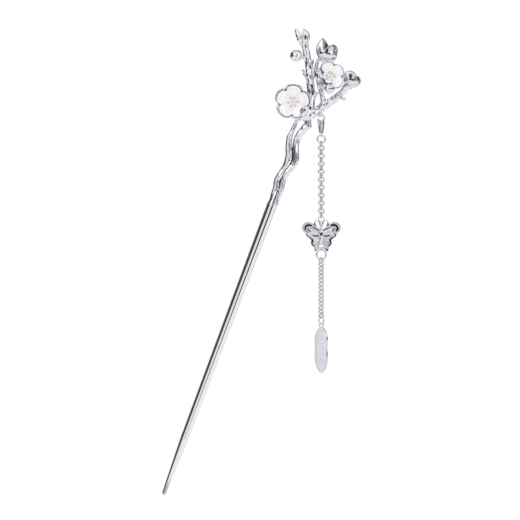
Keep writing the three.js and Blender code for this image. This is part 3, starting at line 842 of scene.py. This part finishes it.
# lips (azimuth, distance out, size) are silver petals curled over the shell, which is short at the
# bare azimuths; glints (azimuth, distance out, half width) are painted black reflections in their folds
openFlowers = {
    "lower": {
        "facing": (-0.10, -1, -0.10), "shift": (0.15, 0, -0.1), "turn": 4, "rise": 2.6,
        "cupReach": 7.6, "shellReach": 6.5, "stamenCircle": 1.75, "rimDark": 0.9,
        "lips": [(-46, 5.9, 2.7)], "bare": (),
        "glints": [(-38, 5.4, 0.42), (-24, 6.9, 0.32)],
    },
    "upper": {
        "facing": (0.16, -1, 0.02), "shift": (-0.55, 0, 0), "turn": 40, "rise": 2.6,
        "cupReach": 6.2, "shellReach": 5.5, "stamenCircle": 1.5, "rimDark": 0.55,
        "lips": [(-84, 4.8, 2.3), (190, 4.4, 2.0)], "bare": (184, -104),
        "glints": [(-70, 4.6, 0.4), (202, 3.8, 0.32), (182, 5.5, 0.45)],
    },
}


# true if an angle is within 25 degrees of any of some others
def isNear(azimuth, others):
    return any(abs((azimuth - other + 180) % 360 - 180) < 25 for other in others)


# a spot on a flower's face, by its azimuth in degrees and its distance out
def spotAt(azimuth, out):
    angle = math.radians(azimuth)
    return out * math.cos(angle), out * math.sin(angle)


def makeCup(name, look, place, facing):
    cup = [ball((0, 0, -0.1), cupLook["heart"], (1, 1, 0.55))]
    for number in range(5):
        cup.append(petal(look["turn"] + 72 * number, reach=look["cupReach"], **cupPetal))
    for azimuth, out, size in look["lips"]:
        roll = []
        for share in (-1, -0.4, 0.4, 1):
            turn = math.radians(azimuth) + share * size / out * 0.8
            reach = out - abs(share) * size * 0.12
            height = look["rise"] + lipLook["lift"] - abs(share) * lipLook["droop"]
            roll.append((reach * math.cos(turn), reach * math.sin(turn), height))
        cup.append(bar(roll, [size * share for share in lipLook["radii"]]))
        middle = (*spotAt(azimuth, out), lipLook["ballHeight"])
        cup.append(ball(middle, size * 0.8, (1, 1, 0.5), 28, 18))
    mesh = castMesh(merged(aimed(cup, place, facing)), cupLook["voxel"], 2, cupLook["dimple"], 1.0)
    # painted shade: the rim is darkened in places where it looks out from under the shell
    points = pointsOf(mesh) / mm
    darker = np.array([noise.noise(Vector(point) * 0.33 + Vector((7, 2, 5))) for point in points])
    frontal = normalsOf(mesh) @ np.array(facing) > 0.25
    height = (points - place) @ np.array(facing)
    darker = np.clip(darker * 5 + 0.9, 0, 1) * frontal * (height < 1.9) * look["rimDark"]
    flat = ((points - place) @ np.array(turnTo(facing).to_matrix()))[:, :2]
    for azimuth, out, size in look["lips"]:
        away = np.linalg.norm(flat - spotAt(azimuth, out), axis=1)
        darker *= np.clip(away / size * 2 - 1.6, 0, 1)
    # painted black reflections at the glints
    for azimuth, out, half in look["glints"]:
        away = np.linalg.norm(flat - spotAt(azimuth, out), axis=1)
        darker = np.maximum(darker, np.clip(1.5 - away / half, 0, 1) * frontal)
    setValue(mesh, "patina", np.maximum(hollows(mesh, 0.12), darker))
    castPiece(f"{name}SilverCup", mesh, f"{name}_flower_cup")


def makeShellBlossom(name, look, place, facing):
    shell = [ball((0, 0, 0.9), shellLook["heart"], (1, 1, 0.4))]
    for number in range(5):
        azimuth = look["turn"] + 72 * number
        reach = look["shellReach"] * (shellLook["bareShare"] if isNear(azimuth, look["bare"]) else 1.0)
        points, faces = petal(azimuth + shellLook["turn"], reach=reach, **shellPetal)
        shell.append((points + np.array((0, 0, shellLook["lift"])), faces))
    mesh = merged(aimed(shell, place, facing))
    mesh = castMesh(mesh, shellLook["voxel"], 2, shellLook["dimple"], 1.4, depth=0.22)
    away = np.linalg.norm(pointsOf(mesh) / mm - place, axis=1)
    setValue(mesh, "heart", np.clip(1.25 - away / 3.0, 0, 1))
    castPiece(f"{name}PearlBlossom", mesh, f"{name}_shell_blossom", "pearlShell", slot="pearl_shell")


# stamens: heads on straight filaments round a boss

# heads stray by the scatter each way; taper is a filament's top against its foot, inward its share of
# the circle, bossHeight the boss's share of the height
stamenLook = {
    "count": 6, "head": 0.31, "filament": 0.10, "height": 2.6, "boss": 0.55,
    "scatter": 0.22, "taper": 0.7, "inward": (0.5, 0.5, 0),
    "bossHeight": 0.62, "bossStretch": (1, 1, 0.8),
}


def stamenTree():
    inputs = {label: "Float" for label in ("Circle", "Head", "Filament", "Height", "Boss")}
    inputs.update({"Count": "Int", "Seed": "Int", "Place": "Vector", "Rotation": "Rotation"})
    tree, start, given = newTree("stamenRing", inputs)
    sockets = {"Vertices": given["Count"], "Radius": given["Circle"]}
    circle = start.node("GeometryNodeMeshCircle", None, sockets)
    most = stamenLook["scatter"] * mm
    sockets = {0: (-most,) * 3, 1: (most,) * 3, "Seed": given["Seed"]}
    stray = start.node("FunctionNodeRandomValue", {"data_type": "FLOAT_VECTOR"}, sockets)
    lift = combine(start, 0.0, 0.0, given["Height"])
    sockets = {"Geometry": circle, "Offset": stray.vectors("ADD", lift)}
    heads = circle.node("GeometryNodeSetPosition", None, sockets)
    globe = start.node("GeometryNodeMeshIcoSphere", None, {"Radius": given["Head"], "Subdivisions": 3})
    sockets = {"Geometry": globe, "Name": "anther", "Value": 1.0}
    globe = globe.node("GeometryNodeStoreNamedAttribute", None, sockets)
    anthers = heads.node("GeometryNodeInstanceOnPoints", None, {"Points": heads, "Instance": globe})
    # each filament runs from the boss out to its head
    sockets = {"Vertices": 8, "Radius Bottom": given["Filament"], "Depth": given["Height"]}
    sockets["Radius Top"] = given["Filament"] * stamenLook["taper"]
    filament = start.node("GeometryNodeMeshCone", None, sockets)
    place = start.node("GeometryNodeInputPosition")
    inward = place.scaled(stamenLook["inward"])
    upward = inward.vectors("ADD", lift)
    turn = start.node("FunctionNodeAlignRotationToVector", {"axis": "Z"}, {"Vector": upward})
    feet = circle.node("GeometryNodeSetPosition", None, {"Geometry": circle, "Position": inward})
    sockets = {"Points": feet, "Instance": filament, "Rotation": turn}
    stalks = feet.node("GeometryNodeInstanceOnPoints", None, sockets)
    boss = start.node("GeometryNodeMeshIcoSphere", None, {"Radius": given["Boss"], "Subdivisions": 3})
    raised = combine(start, 0.0, 0.0, given["Height"] * stamenLook["bossHeight"])
    sockets = {"Geometry": boss, "Scale": stamenLook["bossStretch"], "Translation": raised}
    boss = boss.node("GeometryNodeTransform", None, sockets)
    joined = tree.nodes.new("GeometryNodeJoinGeometry")
    for part in (anthers, stalks, boss):
        tree.links.new(part.socket, joined.inputs[0])
    shape = Wire(tree, joined.outputs[0])
    closeTree(tree, moved(shape, given["Rotation"], given["Place"]), given)
    return tree


def makeFlowers():
    tree = stamenTree()
    for seed, (name, look) in enumerate(openFlowers.items(), 3):
        facing = Vector(look["facing"]).normalized()
        forward = np.array(facing) * look["rise"] * 0.55
        place = middleOf(f"{name}_flower_cup") - forward + look["shift"]
        makeCup(name, look, place, facing)
        makeShellBlossom(name, look, place, facing)
        values = {"Count": stamenLook["count"], "Seed": seed, "Circle": look["stamenCircle"] * mm}
        values.update({"Place": Vector(place) * mm, "Rotation": turnTo(facing).to_euler()})
        for label in ("Head", "Filament", "Height", "Boss"):
            values[label] = stamenLook[label.lower()] * mm
        piece = grow(f"{name}Stamens", tree, values, "creamStamen")
        finishPiece(piece, "root", "cream_stamens", f"{name}_stamens")


makeFlowers()
print("open flowers made")


# half-open blossoms: a heart deep in petals, which are (azimuth, half width, reach, start, bend, curl,
# drop, sharpness); base is how far they start below the middle, hollow and shade bound the painted
# black shade inside

halfBlossomLook = {"voxel": 0.11, "dimple": 0.06, "dimpleSize": 2.4, "thickness": 0.42, "edges": 0.8}
halfBlossoms = {
    "upperHalfBlossom": {
        "node": "upper_half_blossom", "facing": (0.26, -0.48, 0.84), "shift": (0.1, 0, -0.8),
        "heart": 1.0, "heartPlace": -1.6, "base": 4.2, "hollow": 3.6, "shade": 0.6,
        "petals": [
            (112, 46, 9.7, 0.25, 1.1, -0.35, 0.55, 1.1),
            (182, 44, 7.0, 0.3, 1.5, 0.1, 0.3, 3),
            (62, 36, 8.2, 0.25, 1.2, 0.0, 0.35, 2),
            (-86, 88, 7.5, 0.3, 1.40, 0.25, 0.25, 3),
            (2, 34, 7.0, 0.25, 1.2, 1.6, 0.3, 3),
        ],
    },
    "rightHalfBlossom": {
        "node": "right_half_blossom", "facing": (0.16, -0.48, 0.86), "shift": (-0.5, 0, -0.3),
        "heart": 0.8, "heartPlace": -1.2, "base": 3.0, "hollow": 2.8, "shade": 0.4,
        "petals": [
            (104, 48, 6.6, 0.25, 1.25, -0.2, 0.3, 2),
            (176, 44, 5.3, 0.3, 1.5, 0.1, 0.3, 3),
            (26, 38, 6.0, 0.2, 1.2, 1.4, 0.3, 3),
            (-86, 86, 5.7, 0.3, 1.42, 0.25, 0.25, 3),
        ],
    },
}


def makeHalfBlossoms():
    cast = halfBlossomLook
    for name, look in halfBlossoms.items():
        facing = Vector(look["facing"]).normalized()
        middle = middleOf(look["node"]) + look["shift"]
        solids = [ball((0, 0, look["heartPlace"]), look["heart"])]
        solids.append(ball((0, 0, -look["base"] * 0.92), 1.0))
        for azimuth, width, reach, start, bend, curl, drop, sharp in look["petals"]:
            arc = (reach, bend, curl, drop, cast["thickness"], 0, start, sharp)
            points, faces = petal(azimuth, width, *arc)
            solids.append((points - np.array((0, 0, look["base"])), faces))
        mesh = merged(aimed(solids, middle, facing))
        mesh = castMesh(mesh, cast["voxel"], 2, cast["dimple"], cast["dimpleSize"])
        # painted shade: black deep inside, on the side away from the light, and a painted dark outline
        # along the petals' edges; patina in the hollows
        turn = np.array(turnTo(facing).to_matrix())
        offset = (pointsOf(mesh) / mm - middle) @ turn
        normals = normalsOf(mesh) @ turn
        across = np.hypot(offset[:, 0], offset[:, 1])
        inward = -(offset[:, :2] * normals[:, :2]).sum(1) / (across + 0.01)
        inside = (inward > 0.1) | (normals[:, 2] > 0.5) & (across < look["hollow"] * 0.6)
        low = np.clip((look["shade"] - offset[:, 2]) / 0.5, 0, 1) * (across < look["hollow"])
        side = np.clip(0.5 + (offset[:, 0] + offset[:, 1] * 0.4) / 0.8, 0, 1)
        edges = hollows(mesh, -0.10) * cast["edges"]
        dark = np.maximum(hollows(mesh, 0.12), edges)
        setValue(mesh, "patina", np.maximum(dark, inside * low * side))
        castPiece(name, mesh, look["node"])


makeHalfBlossoms()


# buds

# a closed ball in its calyx
leftBudLook = {
    "voxel": 0.11, "dimple": 0.04, "radius": 2.15, "facing": (-0.9, -0.25, 0.25),
    "sepals": (80, 200, 320), "sepalBase": 2.3,
}
sepal = {
    "halfWidth": 50, "reach": 4.4, "start": 0.15, "bend": 1.85,
    "curl": 0, "drop": 0.45, "thick": 0.4, "sharp": 2.0,
}
# pointed, with two ridges and a loose sepal; paths and radii, from a foot beside its middle
topBudLook = {
    "voxel": 0.11, "dimple": 0.08, "stretch": (1, 1, 0.7), "footShift": 0.4,
    "bars": [
        ([(-0.1, 0, -0.8), (0.2, 0, 1.2), (0.55, 0, 3.0), (0.1, 0, 4.9)], [1.0, 1.75, 1.75, 0.45]),
        ([(-0.6, -0.9, -0.4), (-0.7, -1.4, 2.0), (-0.1, -0.8, 4.9)], [0.3, 0.42, 0.22]),
        ([(0.9, -0.9, -0.4), (1.5, -1.1, 2.0), (0.6, -0.7, 4.9)], [0.3, 0.42, 0.22]),
        (
            [(-0.2, -0.3, -0.6), (-1.3, -0.5, 1.2), (-2.2, -0.5, 3.2), (-2.9, -0.2, 5.0)],
            [0.9, 1.2, 0.95, 0.4],
        ),
    ],
}


def makeLeftBud():
    look = leftBudLook
    solids = [ball((0, 0, 0), look["radius"])]
    for azimuth in look["sepals"]:
        points, faces = petal(azimuth, **sepal)
        solids.append((points - np.array((0, 0, look["sepalBase"])), faces))
    solids = aimed(solids, middleOf("left_bud"), look["facing"])
    mesh = castMesh(merged(solids), look["voxel"], 2, look["dimple"], 1.0)
    castPiece("leftBudCasting", mesh, "left_bud")


def makeTopBud():
    look = topBudLook
    low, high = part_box("top_bud")
    foot = np.array(((low.x + high.x) / 2 / mm + look["footShift"], 0, low.z / mm))
    solids = [bar(path, radii) for path, radii in look["bars"]]
    solids = [(np.array(points) + foot, faces) for points, faces in solids]
    mesh = castMesh(merged(solids), look["voxel"], 2, look["dimple"], 1.0, look["stretch"])
    castPiece("topBudCasting", mesh, "top_bud")


makeLeftBud()
makeTopBud()
print("buds and half-open blossoms made")


# distance from (x, z) spots to the nearest of some lines, each a list of (x, z) points
def distanceTo(lines, spots):
    best = np.full(len(spots), 1e9)
    for line in lines:
        line = np.array(line, float)
        for start, end in zip(line[:-1], line[1:]):
            run = end - start
            share = np.clip(((spots - start) @ run) / (run @ run + 1e-12), 0, 1)
            gap = np.linalg.norm(spots - start - share[:, None] * run, axis=1)
            best = np.minimum(best, gap)
    return best


# clasp

claspParts = {
    "claspBodyCasting": {"node": "clasp_body", "body": "clasp", "voxel": 0.085, "soften": 4},
    "claspLeverCasting": {"node": "clasp_lever", "body": "clasp_lever", "voxel": 0.08, "soften": 3},
    "claspRivetHead": {"node": "clasp_rivet", "body": "clasp", "voxel": 0.06, "soften": 3},
}
# dark lines painted on the clasp's front: half width, and its path as (x, z)
claspDarkLines = [
    (0.20, [(37.75, 83.4), (37.85, 82.0), (38.05, 80.6)]),
    (0.24, [(38.98, 82.45), (38.95, 82.15)]),
    (0.17, [(38.98, 81.05), (38.95, 80.75)]),
    (0.10, [(39.75, 84.0), (39.6, 82.2), (39.45, 80.6)]),
]


def makeClasp():
    for name, look in claspParts.items():
        mesh = nodeCopy(look["node"])
        mesh = castMesh(mesh, look["voxel"], look["soften"], 0.02, 0.9, depth=0.05)
        spots = pointsOf(mesh)[:, [0, 2]] / mm
        darkLines = np.zeros(len(spots))
        for width, line in claspDarkLines:
            darkLines = np.maximum(darkLines, np.clip(1.5 - distanceTo([line], spots) / width, 0, 1))
        darkLines *= normalsOf(mesh)[:, 1] < 0
        setValue(mesh, "patina", np.maximum(hollows(mesh, 0.05), darkLines * 0.8))
        castPiece(name, mesh, look["node"], "claspSilver", look["body"], "clasp_silver")
    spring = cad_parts["clasp_spring"]
    spring.data.materials.clear()
    spring.data.materials.append(finish["chainSilver"])


makeClasp()
print("clasp made")


# a smooth curve through (x, z) points
def drawn(points):
    return smoothPath([np.array(point, float) for point in points], 6)


# the outline of a plate that lies in the XZ plane: where its flat faces meet its sides, in millimetres
def plateOutline(node):
    mesh = nodeCopy(node)
    work = bmesh.new()
    work.from_mesh(mesh)
    lines = []
    for edge in work.edges:
        facing = sorted(abs(face.normal.y) for face in edge.link_faces)
        if len(facing) == 2 and facing[0] < 0.5 and facing[1] > 0.95:
            lines.append([(vertex.co.x / mm, vertex.co.z / mm) for vertex in edge.verts])
    work.free()
    bpy.data.meshes.remove(mesh)
    return lines


# butterfly: smooth ridges that spread from its body, black oxide and painted black glints in its deep
# recesses, painted shade in its centre hole and a painted highlight along its body

# lines are (across, up) from its centre hole; ridges run on both wings
butterflyLook = {
    "voxel": 0.085,
    "height": 43.11,  # its centre hole, above the frame's origin
    "ridge": 0.11,
    "ridgeWidth": 0.2,
    "ridges": [
        [(1.0, 1.15), (2.6, 2.0), (4.0, 2.9)],
        [(1.1, 0.85), (2.6, 1.3), (3.8, 1.6)],
        [(1.1, 0.45), (3.0, 0.6), (4.6, 0.5)],
        [(1.0, 0.05), (2.6, 0.05), (4.6, -0.2)],
        [(1.0, -1.25), (2.2, -1.35), (3.3, -1.4)],
        [(0.95, -1.6), (2.1, -2.1), (2.9, -2.5)],
        [(0.9, -2.0), (1.7, -2.8), (2.4, -3.7)],
        [(0.85, -2.5), (1.3, -3.4), (1.8, -4.4)],
    ],
    # side (0 for both), half width, depth and path of each dark line, sunk and black as oxide; the
    # one-sided ones are also painted glints
    "grooves": [
        (1, 0.30, 0.5, [(3.8, 3.15), (4.6, 3.4), (5.4, 3.2), (5.9, 2.6), (6.05, 2.0), (5.75, 1.3)]),
        (-1, 0.28, 0.5, [(3.8, 3.1), (4.6, 3.35), (5.3, 3.15), (5.75, 2.7)]),
        (-1, 0.10, 0.3, [(5.75, 2.7), (5.95, 2.0), (5.6, 1.2), (5.0, 0.6)]),
        (0, 0.16, 0.3, [(4.98, 1.99), (4.6, 1.45), (4.05, 0.95)]),
        (0, 0.15, 0.3, [(0.95, 1.42), (2.0, 1.85), (3.1, 2.5)]),
        (0, 0.17, 0.35, [(1.1, -0.68), (2.1, -0.80), (3.0, -0.45)]),
        (0, 0.20, 0.4, [(4.35, -1.35), (3.75, -1.75), (3.35, -2.3)]),
        (0, 0.36, 0.5, [(3.35, -2.2), (3.5, -2.9), (3.75, -3.5), (3.45, -4.1), (2.9, -4.55)]),
        (0, 0.18, 0.3, [(5.45, -0.05), (5.25, -0.7), (4.8, -1.1)]),
        (1, 0.40, 0.4, [(1.5, -5.75), (2.0, -6.15), (2.5, -6.2)]),
        (-1, 0.22, 0.3, [(1.1, -5.75), (1.6, -5.9), (2.0, -6.2)]),
        (0, 0.13, 0.2, [(0.85, 4.5), (0.4, 3.95), (0.0, 3.6)]),
        (0, 0.17, 0.25, [(2.45, 4.0), (2.55, 3.5), (2.0, 3.0)]),
        (0, 0.05, 0.06, [(1.3, 1.0), (2.6, 1.6), (3.9, 2.3)]),
        (0, 0.05, 0.06, [(1.3, 0.65), (2.7, 0.95), (3.8, 1.1)]),
        (0, 0.05, 0.06, [(1.3, -1.1), (2.3, -1.15), (3.3, -1.2)]),
        (0, 0.05, 0.06, [(1.2, -1.8), (2.0, -2.5), (2.9, -3.3)]),
        (0, 0.05, 0.06, [(1.1, -2.3), (1.6, -3.2), (2.2, -4.2)]),
    ],
    # its thorax and abdomen, and a wall behind its centre hole, painted black as shade: points (across,
    # y, up) and radii
    "body": [
        ([(0, -0.62, 2.6), (0, -0.72, 1.6), (0, -0.66, 0.75)], [0.34, 0.48, 0.36]),
        ([(0, -0.66, -0.9), (0, -0.80, -2.1), (0, -0.62, -3.4)], [0.42, 0.52, 0.40]),
    ],
    "wall": ((0, 0.35, 0), 0.62, (1, 0.4, 1.15)),
    "hole": (0.42, 0.55),  # half width and half height
    "deepest": 0.42,
    "slim": 0.07,  # taken off its eyes and tails, so that the rings pass freely
    "slimBelow": -4.9,
    "slimAbove": 4.5,
}


def makeButterfly():
    look = butterflyLook
    low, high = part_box("butterfly")
    middle = (low.x + high.x) / 2 / mm
    centre = np.array((middle, 0, look["height"]))
    solids = [bar(path, radii) for path, radii in look["body"]] + [ball(*look["wall"])]
    solids = [(np.array(points) + centre, faces) for points, faces in solids]
    mesh = castMesh(merged(solids, nodeCopy("butterfly")), look["voxel"], 3)
    points = pointsOf(mesh)
    spots = points[:, [0, 2]] / mm - (middle, look["height"])
    local = np.abs(spots * (1, 0)) + spots * (0, 1)
    ridges = distanceTo([drawn(line) for line in look["ridges"]], local)
    raised = np.exp(-((ridges / look["ridgeWidth"]) ** 2)) * look["ridge"]
    sunk = np.zeros(len(points))
    for side, width, depth, line in look["grooves"]:
        away = distanceTo([drawn(line)], local)
        there = (spots[:, 0] * side >= 0) * 1.0
        sunk = np.maximum(sunk, np.clip(1.5 - away / width, 0, 1) * depth * there)
    across, tall = look["hole"]
    inHole = np.hypot(spots[:, 0] / across, spots[:, 1] / tall) < 1.15
    normals = normalsOf(mesh)
    flat = np.stack([np.abs(normals[:, 1]) > 0.6] * 3, axis=1) * 1.0
    flat = relax(flat, edgesOf(mesh), [0.6] * 2)[:, 0]
    front = normals[:, 1] < 0
    points[:, 1] += np.sign(normals[:, 1]) * flat * raised * mm
    points[:, 1] += front * flat * np.minimum(sunk, look["deepest"]) * mm
    slim = (spots[:, 1] < look["slimBelow"]) | (spots[:, 1] > look["slimAbove"])
    points -= normals * (slim * look["slim"] * mm)[:, None]
    setPoints(mesh, points)
    deep = points[:, 1] / mm - low.y / mm
    recessed = front & (deep > 0.75) & (np.abs(spots[:, 1]) < 4.2) & (deep < 1.2)
    dark = np.maximum(np.clip(sunk * 4, 0, 1) * front, recessed * 0.9)
    # painted shade: the centre hole, and the wall behind it, are black
    dark = np.maximum(dark, inHole)
    setValue(mesh, "patina", np.maximum(dark, hollows(mesh, 0.16) * 0.45))
    # painted highlight along its body, which is also less rough
    spine = (np.abs(spots[:, 0]) < 0.5) & (spots[:, 1] < 3.0) & (spots[:, 1] > -3.7) & front
    setValue(mesh, "polished", spine * 1.0)
    castPiece("butterflyRelief", mesh, "butterfly", "antiqueSilver", "butterfly", "oxidised_silver")


makeButterfly()
print("butterfly made")


# leaf: a hammered blade with a thin rim, a painted highlight and painted black glints along its right
# side

# its right-hand rim curls forward; down to eye it is slimmed, so that its ring passes freely
leafLook = {
    "voxel": 0.1, "soften": 10, "rim": 0.3, "rimHeight": 0.14, "curl": 0.14,
    "dent": 0.028, "dentSize": 2.4, "eye": 2.2, "slim": 0.07,
    # painted black glints along the rim: height, half length, half width
    "seams": [(8.2, 1.6, 0.25), (4.3, 0.55, 0.45), (-1.5, 1.0, 0.35)],
}


def makeLeaf():
    look = leafLook
    outline = plateOutline("leaf")
    low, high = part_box("leaf")
    middle = (low.x + high.x) / 2 / mm
    mesh = castMesh(nodeCopy("leaf"), look["voxel"], look["soften"])
    points = pointsOf(mesh)
    spots = points[:, [0, 2]] / mm
    edge = distanceTo(outline, spots)
    rightwards = np.clip((spots[:, 0] - middle) / 1.2, 0, 1)
    rim = np.exp(-(((edge - 0.1) / look["rim"]) ** 2)) * look["rimHeight"]
    curled = np.exp(-(((edge - 0.2) / (look["rim"] * 1.3)) ** 2))
    rim += curled * look["curl"] * rightwards
    size = look["dentSize"] * mm
    dents = np.array([noise.noise(Vector(point) / size) for point in points]) * look["dent"]
    normals = normalsOf(mesh)
    flat = np.abs(normals[:, 1]) > 0.6
    side = np.sign(normals[:, 1])
    inside = np.clip(edge / 0.6, 0, 1)
    slim = spots[:, 1] > high.z / mm - look["eye"]
    points -= normals * (slim * look["slim"] * mm)[:, None]
    points[:, 1] += np.where(flat & ~slim, side * (rim - 0.1 + inside * dents), 0) * mm
    setPoints(mesh, points)
    paintedDark = np.zeros(len(points))
    for height, half, width in look["seams"]:
        along = np.clip(1.5 - np.abs(spots[:, 1] - height) / half, 0, 1)
        paintedDark = np.maximum(paintedDark, along * np.clip(1.6 - edge / width, 0, 1) * rightwards)
    # painted highlight: a whiter strip along the right-hand rim, kept off the glints
    polished = np.clip(2.0 - edge / 0.55, 0, 1) * rightwards * (1 - paintedDark)
    polished *= np.clip(1.4 - np.abs(spots[:, 1] - 2.5) / 5.0, 0, 1)
    setValue(mesh, "polished", polished)
    # painted shade: a faint dark outline round the edge, with patina in the hollows
    paintedDark = np.maximum(paintedDark, np.clip(1.4 - edge / 0.28, 0, 1) * 0.3 * (1 - polished))
    setValue(mesh, "patina", np.maximum(hollows(mesh, 0.14) * 0.3, paintedDark))
    castPiece("hammeredLeaf", mesh, "leaf", "frostedSilver", "leaf", "frosted_silver")


makeLeaf()
print("leaf made")


# floor

floorLook = {"drop": 10.3, "size": 0.9}


def makeFloor():
    half = floorLook["size"] / 2
    height = cadBox[0][2] - floorLook["drop"] * mm
    mesh = bpy.data.meshes.new("floor")
    corners = [(-half, -half), (half, -half), (half, half), (-half, half)]
    mesh.from_pydata([(*corner, height) for corner in corners], [], [[0, 1, 2, 3]])
    newPiece("floor", mesh, "paleFloor")


makeFloor()
